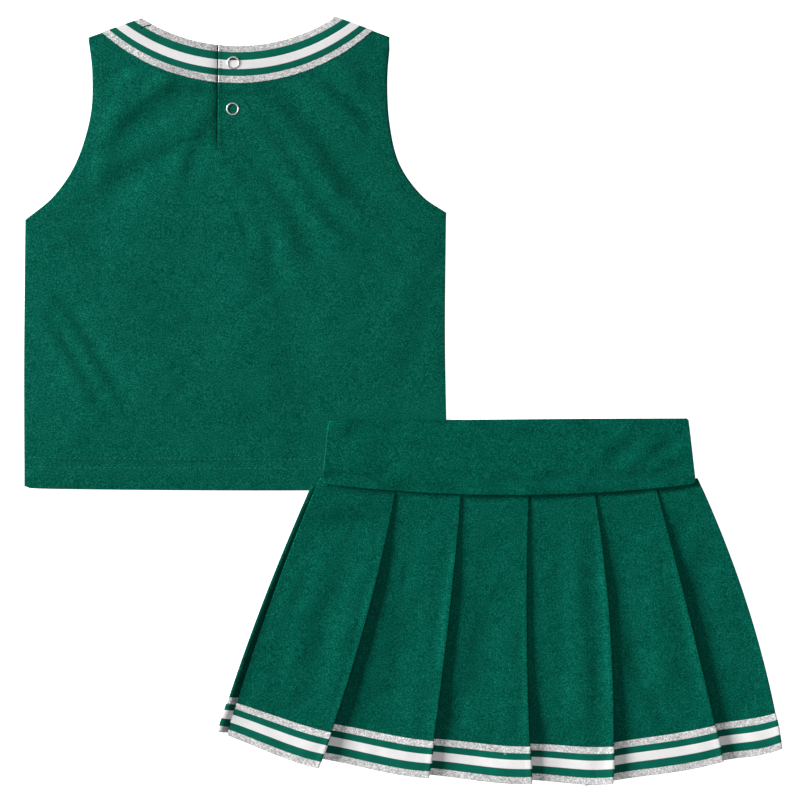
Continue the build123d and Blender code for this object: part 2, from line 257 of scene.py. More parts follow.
def grid_sheet(name, grid, material, thickness, raised=0.0, roll=0.3, bumps=None):
    """A strip or panel of cloth from a grid of points: a closed mesh with rounded edges."""
    rows, columns = grid.shape[:2]
    normal = grid_normals(grid)
    edge = edge_distances(grid)
    swell = rounded(edge, roll, thickness)
    middle = grid + normal * (raised + thickness / 2)
    crest = swell if bumps is None else swell * (1 + bumps)
    upper = (middle + normal * crest[..., None]).reshape(-1, 3)
    lower = (middle - normal * swell[..., None]).reshape(-1, 3)
    inner = np.zeros((rows, columns), bool)
    inner[1:-1, 1:-1] = True
    inner = inner.ravel()
    under = np.arange(rows * columns)
    under[inner] = rows * columns + np.arange(inner.sum())
    index = np.arange(rows * columns).reshape(rows, columns)
    a, b = index[:-1, :-1].ravel(), index[1:, :-1].ravel()
    c, d = index[1:, 1:].ravel(), index[:-1, 1:].ravel()
    top = np.stack([a, b, c, d], axis=1)
    bottom = under[np.stack([d, c, b, a], axis=1)]
    faces = top.tolist() + bottom.tolist()
    obj = new_object(name, np.vstack([upper, lower[inner]]), faces, material)
    return obj


def edge_steps(length, step):
    """Distances across a strip, closer together at both edges."""
    middle = np.linspace(EDGE_ROWS[-1], length - EDGE_ROWS[-1], max(2, int(length / step)))
    start = np.array([0.0, *EDGE_ROWS[:-1]])
    return np.concatenate([start, middle, length - start[::-1]])


def ring_faces(rings, sides):
    """Faces round a stack of rings, with both ends closed."""
    faces = []
    for i in range(rings - 1):
        for j in range(sides):
            k = (j + 1) % sides
            faces.append((i * sides + j, i * sides + k, (i + 1) * sides + k, (i + 1) * sides + j))
    last = (rings - 1) * sides
    return [*faces, tuple(range(sides))[::-1], tuple(range(last, last + sides))]


def tube(name, path, width, height, material, sides=12):
    """A rolled seam: a flattened tube along a path of points, with closed ends."""
    run = unit(np.gradient(path, axis=0))
    side = unit(np.cross(run, (0, 0, 1)))
    up = np.cross(side, run)
    turn = np.linspace(0, math.tau, sides, endpoint=False)[None, :, None]
    taper = np.ones((len(path), 1, 1))
    taper[[0, -1]] = 0.35
    across = side[:, None] * np.cos(turn) * width / 2 + up[:, None] * np.sin(turn) * height / 2
    rings = path[:, None] + across * taper
    return new_object(name, rings.reshape(-1, 3), ring_faces(len(path), sides), material)


def stitches(name, paths, height, material, pitch, length, radius):
    """Rows of short raised stitches that follow paths in plan, lying on a surface."""
    sides, sink = 6, 0.02
    stations = {-1.0: 0.25, -0.8: 1.0, 0.8: 1.0, 1.0: 0.25}      # place along a stitch, and its girth
    stitch = [face[::-1] for face in ring_faces(len(stations), sides)]
    points, faces = [], []
    for path in paths:
        spots = resample(path, pitch)
        run = unit(np.gradient(spots, axis=0))
        level = height(spots[:, 0], spots[:, 1])
        for (x, y), (ux, uy), z in zip(spots[1:-1], run[1:-1], level[1:-1]):
            faces += [tuple(len(points) + corner for corner in face) for face in stitch]
            for station, girth in stations.items():
                along = station * length / 2
                arch = (1 - abs(station)) * radius * 0.4
                for turn in np.arange(sides) * math.tau / sides:
                    off = math.cos(turn) * radius * girth
                    points.append((x + ux * along - uy * off, y + uy * along + ux * off,
                                   z - sink + arch + math.sin(turn) * radius * girth))
    return new_object(name, np.array(points), faces, material)


def lathe(name, profile, centre, material, sides=64):
    """A turned piece: a closed profile of (radius, height) points swung round an upright axis."""
    profile = np.array(profile, float)
    angles = np.linspace(0, math.tau, sides, endpoint=False)
    rings = np.stack([
        np.stack([centre[0] + profile[:, 0] * math.cos(a), centre[1] + profile[:, 0] * math.sin(a),
                  centre[2] + profile[:, 1]], axis=1)
        for a in angles
    ])
    n = len(profile)
    faces = []
    for i in range(sides):
        for j in range(n):
            k, m = (j + 1) % n, (i + 1) % sides
            faces.append((i * n + j, m * n + j, m * n + k, i * n + k))
    return new_object(name, rings.reshape(-1, 3), faces, material)


# ---------------------------------------------------------------- materials

def graph(name):
    """A new material with its node tree, its shader and the piece's own coordinates."""
    material = bpy.data.materials.new(name)
    material.use_nodes = True
    tree = material.node_tree
    place = add_node(tree, "ShaderNodeTexCoord").outputs["Object"]
    return material, tree, tree.nodes["Principled BSDF"], place


def fill(shader, **values):
    """Sets a shader's inputs, whose names have _ for a space here."""
    for socket, value in values.items():
        shader.inputs[socket.replace("_", " ")].default_value = value


def shade(tree, shader, colour, rough, normal, **values):
    """Links a shader's colour, roughness and normal, and sets its other inputs."""
    for socket, source in (("Base Color", colour), ("Roughness", rough), ("Normal", normal)):
        tree.links.new(source, shader.inputs[socket])
    fill(shader, **values)


def add_node(tree, kind, links=None, **values):
    """Adds a node, sets its properties, and links or fills its sockets."""
    node = tree.nodes.new(kind)
    for key, value in values.items():
        setattr(node, key, value)
    for socket, source in (links or {}).items():
        if isinstance(source, bpy.types.NodeSocket):
            tree.links.new(source, node.inputs[socket])
        else:
            node.inputs[socket].default_value = source
    return node


def ramp(tree, source, stops):
    """A ramp over a value. Each stop has a place and a colour, or one number for a grey."""
    node = add_node(tree, "ShaderNodeValToRGB", {"Fac": source})
    elements = node.color_ramp.elements
    while len(elements) < len(stops):
        elements.new(0.5)
    for element, (place, colour) in zip(elements, stops):
        element.position = place
        element.color = (*(colour if isinstance(colour, tuple) else (colour,) * 3), 1.0)
    return node.outputs["Color"]


def noise(tree, place, scale, detail=2.0, roughness=0.5):
    """Noise whose features are about this many millimetres."""
    links = {"Vector": place, "Scale": 1 / (scale * MM), "Detail": detail, "Roughness": roughness}
    return add_node(tree, "ShaderNodeTexNoise", links).outputs["Fac"]


def stripes(tree, place, pitch, direction="X", distortion=0.0):
    """Parallel rounded ribs at this pitch in millimetres."""
    links = {"Vector": place, "Scale": 1 / (pitch * MM * 3.18), "Distortion": distortion, "Detail": 1.0}
    return add_node(tree, "ShaderNodeTexWave", links, bands_direction=direction).outputs["Fac"]


def bump(tree, height, strength, distance, under=None):
    """A bumped normal, over another one if it is given. The distance is in millimetres."""
    links = {"Height": height, "Strength": strength, "Distance": distance * MM}
    if under is not None:
        links["Normal"] = under
    return add_node(tree, "ShaderNodeBump", links).outputs["Normal"]


def weigh(tree, first, weight, second):
    """This weight of the first value and the rest of the second."""
    parts = [add_node(tree, "ShaderNodeMath", {0: value, 1: share}, operation="MULTIPLY").outputs[0]
             for value, share in ((first, weight), (second, 1 - weight))]
    return add_node(tree, "ShaderNodeMath", {0: parts[0], 1: parts[1]}, operation="ADD").outputs[0]


def knit(name, dark, light):
    """Stretch tricot: fine ribs, a mottled grain and a soft nap that catches the light unevenly."""
    material, tree, shader, place = graph(name)
    grain = noise(tree, place, 0.95, 3.0, 0.65)
    nap = noise(tree, place, 7.0, 2.0, 0.55)
    middle = tuple(k * b + (1 - k) * a for k, a, b in zip((0.15, 0.4, 0.4), dark, light))
    colour = ramp(tree, weigh(tree, grain, 0.9, nap), [(0.34, dark), (0.5, middle), (0.65, light)])
    ribs = stripes(tree, place, 0.75, "X", 0.4)
    courses = stripes(tree, place, 0.6, "Y", 0.6)
    normal = bump(tree, weigh(tree, ribs, 0.6, courses), 0.35, 0.05)
    normal = bump(tree, grain, 0.5, 0.12, normal)
    shade(tree, shader, colour, ramp(tree, grain, [(0.3, 0.42), (0.7, 0.58)]), normal,
          Sheen_Weight=0.03, Sheen_Roughness=0.45, Sheen_Tint=(0.01, 0.75, 0.55, 1.0),
          Metallic=0.3, Specular_IOR_Level=0.03, Specular_Tint=(0.01, 0.75, 0.6, 1.0))
    return material


def braid(name, dark, light, roughness, tint=(1, 1, 1)):
    """A flat woven ribbon with fine ribs."""
    material, tree, shader, place = graph(name)
    fine = noise(tree, place, 0.8, 2.0, 0.6)
    colour = ramp(tree, weigh(tree, fine, 0.5, noise(tree, place, 9.0)), [(0.35, dark), (0.65, light)])
    normal = bump(tree, stripes(tree, place, 0.55, "DIAGONAL", 0.3), 0.3, 0.05)
    normal = bump(tree, fine, 0.25, 0.06, normal)
    rough = ramp(tree, fine, [(0.3, roughness - 0.06), (0.7, roughness + 0.06)])
    shade(tree, shader, colour, rough, normal, Specular_IOR_Level=0.2, Specular_Tint=(*tint, 1.0))
    return material


def glitter(name):
    """Silver lurex: each tiny stretch of metallic thread has its own tone and tilt."""
    material, tree, shader, place = graph(name)
    links = {"Vector": place, "Scale": 1 / (0.8 * MM), "Randomness": 0.75}
    threads = add_node(tree, "ShaderNodeTexVoronoi", links)
    tone = add_node(tree, "ShaderNodeSeparateColor", {"Color": threads.outputs["Color"]})
    fine = noise(tree, place, 0.5, 2.0, 0.7)
    grey = ramp(tree, weigh(tree, tone.outputs[0], 0.75, fine),
                [(0.12, 0.38), (0.4, 0.54), (0.62, 0.7), (0.85, (0.88, 0.87, 0.87))])
    normal = bump(tree, threads.outputs["Distance"], 0.6, 0.25)
    normal = bump(tree, fine, 0.5, 0.15, normal)
    shine = ramp(tree, tone.outputs[1], [(0.2, 0.28), (0.9, 0.55)])
    shade(tree, shader, grey, shine, normal, Metallic=0.45)
    return material


def polished(name):
    """Nickel-plated brass with the faint hairlines of a pressed part."""
    material, tree, shader, place = graph(name)
    wear = noise(tree, place, 1.2, 4.0, 0.7)
    shade(tree, shader, ramp(tree, wear, [(0.3, (0.58, 0.53, 0.53)), (0.7, (0.8, 0.76, 0.76))]),
          ramp(tree, wear, [(0.3, 0.36), (0.7, 0.48)]), bump(tree, wear, 0.15, 0.03), Metallic=1.0)
    return material


def thread(name, dark, light):
    """Twisted sewing thread."""
    material, tree, shader, place = graph(name)
    twist = stripes(tree, place, 0.35, "DIAGONAL", 1.0)
    shade(tree, shader, ramp(tree, twist, [(0.2, dark), (0.8, light)]),
          ramp(tree, twist, [(0.2, 0.4), (0.8, 0.55)]), bump(tree, twist, 0.4, 0.05),
          Specular_IOR_Level=0.15)
    return material


TOP_KNIT = knit("top_knit", (0.0, 0.043, 0.027), (0.01, 0.169, 0.115))
SKIRT_KNIT = knit("skirt_knit", (0.0, 0.036, 0.023), (0.007, 0.153, 0.104))
# The band's front has a lighter copy of the skirt's knit: painted light on the same cloth.
LIT_BAND_KNIT = knit("band_knit_lit", (0.0, 0.038, 0.024), (0.007, 0.16, 0.109))
GREEN_BRAID = braid("green_braid", (0.001, 0.088, 0.055), (0.003, 0.115, 0.076), 0.6, (0.1, 0.8, 0.65))
GLOWING_WHITE_BRAID = braid("white_braid", (0.6, 0.59, 0.59), (0.67, 0.66, 0.66), 0.55)
fill(GLOWING_WHITE_BRAID.node_tree.nodes["Principled BSDF"],     # painted glow: emission that lightens the braid where it lies in shade
     Emission_Color=(1.0, 0.985, 0.99, 1), Emission_Strength=0.11)
SILVER_BRAID = glitter("silver_braid")
SNAP_METAL = polished("snap_metal")
LIGHT_THREAD = thread("light_thread", (0.01, 0.14, 0.1), (0.02, 0.22, 0.165))
# Dark thread for seams and stitching; its tubes at the waistband's ends also paint a thin dark line of
# shade.
SEAM_THREAD_AND_SHADE = thread("seam_thread_and_shade", (0.0, 0.024, 0.016), (0.001, 0.055, 0.038))
ELASTIC = braid("elastic", (0.6, 0.6, 0.58), (0.72, 0.72, 0.7), 0.7)


# ---------------------------------------------------------------- the top: outline and surface

JOINTS = {joint["name"]: joint for joint in frame["joints"]}
LEFT_X, HEM_Y, _ = cad_box("top_back_panel")[0]
SLIT_X = cad_box("placket_flap")[0][0] - 1.0
SLIT_FOOT_Y = JOINTS["placket_opening"]["pos_m"][1] / MM
FOLD_AXIS = np.array(JOINTS["placket_opening"]["axis"][:2])
FOLD_WIDTH = 3.2       # how wide the bend is, on the flap's side of the fold line

LEFT_ARMHOLE = [(-227.7, 262.2), (-224.8, 236.0), (-226.2, 205.0), (-236.4, 171.8),
                (-252.5, 147.5), (-273.3, 130.1)]
RIGHT_ARMHOLE = [(31.6, 135.3), (12.8, 148.2), (-3.2, 171.0), (-10.2, 200.0),
                 (-11.8, 232.0), (-9.4, 262.6)]
LEFT_NECK, RIGHT_NECK = (-188.7, 276.0), (-49.6, 277.5)
NECK_CENTRE, NECK_RADIUS = (-119.5, 386.9), 130.8      # the arc of the back neckline
BAND_CENTRE, BAND_RADIUS = (-120.3, 375.0), 146.2      # the arc along the back collar's outer edge
FRONT_NECK, FRONT_NECK_RADIUS = (-119.5, 276.0), 69.0  # the arc of the front neckline
COLLAR_BAND = 27.3     # width of the collar's silver braid
COLLAR_LENGTH = 95.0   # about the length of the back collar on either side of the slit
FRONT_TURN = 1.42      # radians from the middle of the front collar to its ends
SLIT_GAP = 1.1
PRESSED_LEVEL = 1.9    # the back's upper surface where the top is pressed flat


def neck_circle(share):
    """Centre and radius of the arc at a share of the back collar's width from the neck edge."""
    return (NECK_CENTRE[0] + share * (BAND_CENTRE[0] - NECK_CENTRE[0]),
            NECK_CENTRE[1] + share * (BAND_CENTRE[1] - NECK_CENTRE[1]),
            NECK_RADIUS + share * (BAND_RADIUS - NECK_RADIUS))


def neck_arc(share, from_x, to_x, step=2.0):
    """A stretch of the back collar at a share of its width from the neck edge."""
    cx, cy, radius = neck_circle(share)
    a, b = math.asin((from_x - cx) / radius), math.asin((to_x - cx) / radius)
    turn = np.linspace(a, b, max(2, int(radius * abs(b - a) / step) + 1))
    return np.stack([cx + radius * np.sin(turn), cy - radius * np.cos(turn)], axis=1)


def line(*points, step=2.0):
    """Straight stretches from point to point."""
    return resample(np.array(points, float), step)


def top_sides():
    """The top's outline from the right neck point down round the hem and up to the left one."""
    right_hem, left_hem = (33.0, HEM_Y + 0.4), (LEFT_X + 0.4, HEM_Y + 3.0)
    return chain(
        line(RIGHT_NECK, RIGHT_ARMHOLE[-1]),
        curve(RIGHT_ARMHOLE)[::-1],
        curve([RIGHT_ARMHOLE[0], (30.9, 40.0), right_hem]),
        curve([right_hem, (-120.0, HEM_Y), (-255.0, HEM_Y + 1.2), left_hem]),
        curve([left_hem, (LEFT_X + 0.2, 30.0), LEFT_ARMHOLE[-1]]),
        curve(LEFT_ARMHOLE)[::-1],
        line(LEFT_ARMHOLE[0], LEFT_NECK),
    )


TOP_EDGE = top_sides()
NECK_EDGE = neck_arc(0, LEFT_NECK[0], RIGHT_NECK[0])

BACK_CREASES = [
    (9.9, 1.92, [(-112, 229), (-98, 219), (-85, 210), (-63, 181), (-45, 155), (-27, 139), (-6, 130)]),
    (7.3, 1.55, [(-108, 208), (-89, 184), (-74, 159), (-60, 137), (-42, 119), (-16, 106)]),
    (5.8, 0.80, [(-126, 174), (-111, 148), (-100, 123), (-96, 86)]),
    (9.2, 1.71, [(-106, 165), (-89, 141), (-78, 119), (-66, 88)]),
    (5.5, 1.07, [(-76, 240), (-56, 228), (-38, 212), (-18, 190)]),
    (5.5, 1.04, [(-138, 206), (-150, 185), (-160, 156)]),
    (10.3, 2.56, [(-128, 222), (-165, 223), (-189, 210), (-205, 195), (-224, 172)]),
    (9.2, 1.55, [(-134, 232), (-160, 230), (-176, 222)]),
    (9.5, 2.58, [(-168, 184), (-194, 174), (-226, 149)]),
    (5.5, 1.37, [(-264, 86), (-241, 58), (-223, 29), (-200, -12)]),
    (5.5, 1.22, [(-272, 72), (-252, 50), (-214, -16)]),
    (13.6, 1.40, [(-246, 112), (-205, 87), (-150, 64)]),
    (13.6, 1.23, [(-190, 38), (-150, 18), (-100, -2)]),
    (11.3, 1.23, [(-98, 24), (-53, -6)]),
    (5.5, 1.40, [(-206, 254), (-216, 249), (-226, 245)]),
    (5.5, 1.40, [(-200, 243), (-212, 239), (-224, 236)]),
    (5.5, 1.09, [(-186, 232), (-206, 222)]),
    (9.2, 1.17, [(-58, 252), (-38, 244), (-18, 222)]),
    (11.3, 0.64, [(16, 90), (6, 62), (-4, 20)]),
    (13.6, 1.55, [(-112, 112), (-104, 92), (-96, 76)]),
]


def top_height(x, y):
    """The upper surface of the top's back."""
    x, y = np.asarray(x, float), np.asarray(y, float)
    points = np.column_stack([x.ravel(), y.ravel()])
    side = distance_to(points, TOP_EDGE).reshape(x.shape)
    neck = distance_to(points, NECK_EDGE).reshape(x.shape)
    body = (0.5 * (1 - np.exp(-side / 6)) + 2.6 * smooth(-15, 90, side)) * (1 - np.exp(-neck / 6))
    folds = creases(x, y, BACK_CREASES) + 0.25 * ripple(x, y, 62, 4) + 0.08 * ripple(x, y, 24, 9)
    folds = folds * smooth(1, 23, side) * smooth(20, 32, neck)
    pressed = smooth(-112, -62, x) * (1 - smooth(-16, 40, y))     # the corner under the skirt
    level = (body + folds) * (1 - pressed)
    off = x - SLIT_X
    lap = np.where(off > 0, 0.7 * np.exp(-np.abs(off) / 6), -1.5 * np.exp(-np.abs(off) / 2.6))
    lap = lap * smooth(SLIT_FOOT_Y - 2, SLIT_FOOT_Y + 9, y)
    hem = -0.35 * np.exp(-((y - HEM_Y - 19.3) / 2.6) ** 2) * (1 - pressed)
    return PRESSED_LEVEL + level + lap + hem


def flap_share(x, y):
    """How far a point follows the flap: 1 on it, 0 elsewhere, turning at the fold line."""
    off = (x - SLIT_X) * -FOLD_AXIS[1] + (y - SLIT_FOOT_Y) * FOLD_AXIS[0]
    on_flap = (x > SLIT_X - SLIT_GAP / 4) & (y > SLIT_FOOT_Y - 0.5)
    return smooth(0, FOLD_WIDTH, off) * on_flap


def set_shares(obj, shares):
    """Bakes a piece's placement into its mesh. The shares it is given are not used."""
    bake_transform(obj)


def blend_flap(obj):
    """Works out how far each point of a piece follows the flap, turning at the fold line, and bakes the
    piece's placement.
    """
    co = np.zeros(len(obj.data.vertices) * 3)
    obj.data.vertices.foreach_get("co", co)
    x, y, _ = co.reshape(-1, 3).T / MM
    set_shares(obj, flap_share(x, y))


def settle(obj, slot, *nodes, body=None):
    """Hides the CAD nodes a piece stands for and, when a body is given, attaches the piece to it. The
    finish it is given is not used.
    """
    if body:
        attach(obj, body)
    if nodes:
        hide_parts(*nodes)
    return obj


# ---------------------------------------------------------------- the top: cloth

def make_back():
    """The back of the top in one cut, slit down to the placket's foot."""
    neck_left = neck_arc(0, LEFT_NECK[0], SLIT_X - SLIT_GAP / 2)
    neck_right = neck_arc(0, SLIT_X + SLIT_GAP / 2, RIGHT_NECK[0], 0.7)
    foot = (SLIT_X, SLIT_FOOT_Y)
    slit = chain(line(neck_left[-1], foot), line(foot, neck_right[0]))
    outline = chain(TOP_EDGE, neck_left, slit, neck_right)[:-1][::-1]
    along, across = np.meshgrid(np.arange(1.0, 150.0, 1.0), np.linspace(0, FOLD_WIDTH, 7))
    fold = np.column_stack([
        SLIT_X + along.ravel() * FOLD_AXIS[0] - across.ravel() * FOLD_AXIS[1],
        SLIT_FOOT_Y + along.ravel() * FOLD_AXIS[1] + across.ravel() * FOLD_AXIS[0],
    ])
    obj = plan_sheet("top_back", outline, top_height, TOP_KNIT, spacing=2.1, extra=fold)
    blend_flap(obj)
    settle(obj, "top_knit", "top_back_panel", "placket_flap")


def front_height(x, y):
    """The upper surface of the top's front, which rises a little over its own collar braid."""
    reach = np.hypot(x - FRONT_NECK[0], y - FRONT_NECK[1]) - FRONT_NECK_RADIUS
    return 0.66 + 1.0 * (1 - smooth(COLLAR_BAND - 2, COLLAR_BAND + 5, reach)) + 0.03 * ripple(x, y, 40, 2)


def make_front():
    """The front of the top, with a deeper neckline."""
    half = math.acos((LEFT_NECK[1] - FRONT_NECK[1]) / FRONT_NECK_RADIUS)
    turn = np.linspace(-half, half, 110)
    scoop = np.stack([FRONT_NECK[0] + FRONT_NECK_RADIUS * np.sin(turn),
                      FRONT_NECK[1] - FRONT_NECK_RADIUS * np.abs(np.cos(turn))], axis=1)
    edge = TOP_EDGE.copy()
    armhole = smooth(128, 150, edge[:, 1]) * (1 - smooth(252, 262, edge[:, 1]))
    edge[:, 0] += 0.9 * armhole
    outline = chain(edge, line(edge[-1], scoop[0]), scoop, line(scoop[-1], edge[0]))[:-1][::-1]
    obj = plan_sheet("top_front", outline, front_height, TOP_KNIT, spacing=3.6)
    settle(obj, "top_knit", "top_front_panel", body="shell_top")


def shoulder_y(x):
    """The shoulder line's height up the plan."""
    left = LEFT_NECK[1] + (x - LEFT_NECK[0]) * (LEFT_NECK[1] - LEFT_ARMHOLE[0][1]) / (
        LEFT_NECK[0] - LEFT_ARMHOLE[0][0])
    right = RIGHT_NECK[1] + (x - RIGHT_NECK[0]) * (RIGHT_NECK[1] - RIGHT_ARMHOLE[-1][1]) / (
        RIGHT_NECK[0] - RIGHT_ARMHOLE[-1][0])
    return np.where(x < FRONT_NECK[0], left, right)


def band_turns(share):
    """The turns at which the back collar band meets the left and right shoulder lines."""
    cx, cy, radius = neck_circle(share)
    turn = np.linspace(-1.2, 1.2, 4801)
    x, y = cx + radius * np.sin(turn), cy - radius * np.cos(turn)
    fits = turn[y < shoulder_y(x) + 0.4]
    return fits.min(), fits.max()


def collar_strip(inner, outer, side, step, wobble, seed):
    """A grid over one stretch of the back collar, left or right of the slit, with uneven edges."""
    shares = inner + edge_steps((outer - inner) * COLLAR_BAND, step) / COLLAR_BAND
    fractions = edge_steps(COLLAR_LENGTH, step) / COLLAR_LENGTH
    grid = np.zeros((len(shares), len(fractions), 3))
    scallop = wobble * np.random.default_rng(seed).uniform(-1, 1, (2, len(fractions)))
    for row, share in enumerate(shares):
        first, last = band_turns(share)
        cx, _, radius = neck_circle(share)
        slit = math.asin((SLIT_X + side * SLIT_GAP / 2 - cx) / radius)
        start, end = (first, slit) if side < 0 else (slit, last)
        turn = start + fractions * (end - start)
        near_edge = np.exp(-np.array([share - inner, outer - share]) * COLLAR_BAND / 0.4)
        at = share + (near_edge[1] * scallop[1] - near_edge[0] * scallop[0]) / COLLAR_BAND
        _, cy, radius = neck_circle(at)
        grid[row, :, :2] = np.column_stack([cx + radius * np.sin(turn), cy - radius * np.cos(turn)])
    grid[..., 2] = top_height(grid[..., 0], grid[..., 1])
    return grid


# colour: inner and outer share of the collar or hem band, height over the cloth, thickness, material
BRAIDS = {
    "silver": (0.0, 1.0, 0.0, 0.4, SILVER_BRAID),
    "green": (0.18, 0.81, 0.36, 0.28, GREEN_BRAID),
    "white": (0.395, 0.635, 0.6, 0.28, GLOWING_WHITE_BRAID),
}


def band_rows(colour, width, step):
    """Distances from a band's edge at which a ribbon has its rows of points."""
    inner, outer, *_ = BRAIDS[colour]
    return edge_steps((outer - inner) * width, step) + inner * width


def ribbon(name, colour, grid, seed=None, raised=0.0):
    """A ribbon over a grid. Metallic thread is uneven in thickness where a seed is given."""
    _, _, lift, thickness, material = BRAIDS[colour]
    bumps = None
    if colour == "silver" and seed is not None:
        bumps = np.random.default_rng(seed).uniform(-0.35, 0.45, grid.shape[:2])
    return grid_sheet(name, grid, material, thickness, lift + raised, 0.25, bumps)


def make_collar():
    """Back and front collar braids, one piece for each ribbon and stretch."""
    for colour, (inner, outer, *_) in BRAIDS.items():
        step, wobble = (0.7, 0.28) if colour == "silver" else (1.2, 0.04)
        for side, word in ((-1, "left"), (1, "right")):
            grid = collar_strip(inner, outer, side, step, wobble, side + 5)
            obj = ribbon(f"collar_{colour}_{word}", colour, grid, side + 9, raised=-0.02)
            if side > 0:
                blend_flap(obj)
                settle(obj, f"{colour}_braid", f"flap_{colour}_braid")
            else:
                settle(obj, f"{colour}_braid", f"collar_{colour}_braid", body="shell_top")
        reach = FRONT_NECK_RADIUS + band_rows(colour, COLLAR_BAND, 1.6)[:, None]
        turn = np.linspace(FRONT_TURN, -FRONT_TURN, 150)
        x, y = FRONT_NECK[0] + reach * np.sin(turn), FRONT_NECK[1] - reach * np.cos(turn)
        grid = np.stack([x, y, np.full(x.shape, 1.04)], axis=2)
        settle(ribbon(f"collar_{colour}_front", colour, grid), f"{colour}_braid", body="shell_top")


def make_underlap():
    """The strip behind the slit that carries the studs."""
    left, right, foot = SLIT_X - 8, SLIT_X + 27, SLIT_FOOT_Y - 4
    neck = neck_arc(0, left, right)
    outline = chain(neck, line(neck[-1], (right, foot), (left, foot), neck[0]))[:-1][::-1]
    obj = plan_sheet("placket_underlap_cloth", outline, underlap_height, TOP_KNIT,
                     thickness=0.5, spacing=2.5)
    settle(obj, "top_knit", "placket_underlap", body="shell_top")


def underlap_height(x, y):
    """Just under the back near the slit, and lower under the flap's sockets."""
    below = 0.75 + 0.75 * smooth(SLIT_X + 1, SLIT_X + 5, x)
    return np.maximum(top_height(np.minimum(x, SLIT_X - 0.2), y) - below, 1.2)


def make_seams():
    """Rolled side and shoulder seams that join the top's front and back, and the collar's own seam."""
    sides = [curve([(LEFT_X + 1.4, HEM_Y + 4.0), (LEFT_X + 1.2, 30.0), (-272.4, 129.5)], 4),
             curve([(31.9, HEM_Y + 1.5), (29.9, 40.0), (30.5, 134.5)], 4)]
    shoulders = [line(LEFT_ARMHOLE[0], LEFT_NECK, step=3)[1:-1] - (0, 1.2),
                 line(RIGHT_NECK, RIGHT_ARMHOLE[-1], step=3)[1:-1] - (0, 1.2)]
    for kind, paths, level, height in (("side", sides, 1.0, 1.5), ("shoulder", shoulders, 1.45, 0.9)):
        for word, path in zip(("left", "right"), paths):
            path = np.column_stack([path, np.full(len(path), level)])
            seam = tube(f"{kind}_seam_{word}", path, 1.6, height, TOP_KNIT)
            nodes = [f"top_{kind}_seams"] if word == "left" else []
            settle(seam, "top_knit", *nodes, body="shell_top")
    path = curve([(-181.6, 271.4), (-186.0, 270.3), (-190.6, 268.6)], 1.0)
    level = stitch_level(path[:, 0], path[:, 1]) + 0.08
    seam = tube("collar_seam_left", np.column_stack([path, level]), 0.8, 0.4, SEAM_THREAD_AND_SHADE)
    settle(seam, "top_knit", body="shell_top")


def offset_path(path, amount):
    """A path moved sideways, to its left."""
    run = unit(np.gradient(path, axis=0))
    return path + np.stack([-run[:, 1], run[:, 0]], axis=1) * amount


def make_top_stitching():
    """Coverstitch round the armholes and hem, and topstitching on the placket."""
    arms = [offset_path(curve(path), inward)[3:-2]
            for path, inward in ((LEFT_ARMHOLE, 7.8), (RIGHT_ARMHOLE, 9.4))]
    hem = [curve([(LEFT_X + 1.6, HEM_Y + 2.6 + above), (-255.0, HEM_Y + 1.2 + above),
                  (-120.0, HEM_Y + above), (31.0, HEM_Y + above)]) for above in (16.0, 22.6)]
    upright = line((SLIT_X + 2.4, SLIT_FOOT_Y + 1.5), (SLIT_X + 2.4, 255.0))
    bar = line((SLIT_X - 0.5, SLIT_FOOT_Y - 0.6), (-107.5, SLIT_FOOT_Y - 0.8))
    rows = {     # paths, surface, thread, and each stitch's pitch, length and radius
        "armhole": (arms, top_height, SEAM_THREAD_AND_SHADE, 2.0, 1.0, 0.17),
        "hem": (hem, top_height, LIGHT_THREAD, 3.6, 2.1, 0.2),
        "placket": ([upright], stitch_level, SEAM_THREAD_AND_SHADE, 2.2, 0.95, 0.27),
        "placket_foot": ([bar], top_height, LIGHT_THREAD, 2.4, 1.2, 0.25),
    }
    made = []
    for word, values in rows.items():
        obj = stitches(f"{word}_stitches", *values)
        if word == "placket":
            blend_flap(obj)
        made.append(settle(obj, "top_knit", body=None if word == "placket" else "shell_top"))
    return made


def stitch_level(x, y):
    """The topmost surface beside the slit: the braids where they lie, the cloth below them."""
    share = (np.hypot(x - NECK_CENTRE[0], y - NECK_CENTRE[1]) - NECK_RADIUS) / COLLAR_BAND
    over = np.zeros(np.shape(x))
    for inner, outer, lift, thickness, _ in BRAIDS.values():
        over = np.where((share > inner) & (share < outer), lift + thickness, over)
    return top_height(x, y) + over


def make_snaps():
    """Two snap fasteners, each a prong ring, a socket, a stud and a back ring."""
    ring = [(3.5, 0.0), (3.44, 0.25), (3.52, 0.5), (3.72, 0.7), (4.08, 0.78), (4.42, 0.68),
            (4.62, 0.5), (4.7, 0.24), (4.66, 0.0), (4.5, -0.1), (3.65, -0.1)]
    socket = [(1.8, 0.0), (1.8, 0.55), (2.2, 0.75), (3.6, 0.8), (4.6, 0.78), (4.9, 0.5), (4.9, 0.2),
              (4.6, 0.0)]
    stud = [(0.02, 0.0), (4.4, 0.0), (4.6, 0.15), (4.4, 0.3), (2.2, 0.34), (1.35, 0.42), (1.25, 0.7),
            (1.5, 0.95), (1.2, 1.15), (0.02, 1.22)]
    for level in ("upper", "lower"):
        x, y, _ = sum(cad_box(f"snap_ring_{level}")) / 2
        surface = float(top_height(np.array([x]), np.array([y]))[0])
        braids = 0.88 if level == "upper" else 0.0      # the upper ring sits on the collar braids
        underlap = surface - 2.05
        pieces = {
            "ring": (ring, surface + braids + 0.02, "back_flap"),
            "socket": (socket, surface - 0.65 - 0.8, "back_flap"),
            "stud": (stud, underlap, "shell_top"),
            "back_ring": (ring, underlap - 1.3, "shell_top"),
        }
        for word, (profile, z, body) in pieces.items():
            obj = lathe(f"{word}_{level}", profile, (x, y, z), SNAP_METAL)
            settle(obj, "snap_metal", f"snap_{word}_{level}", body=body)


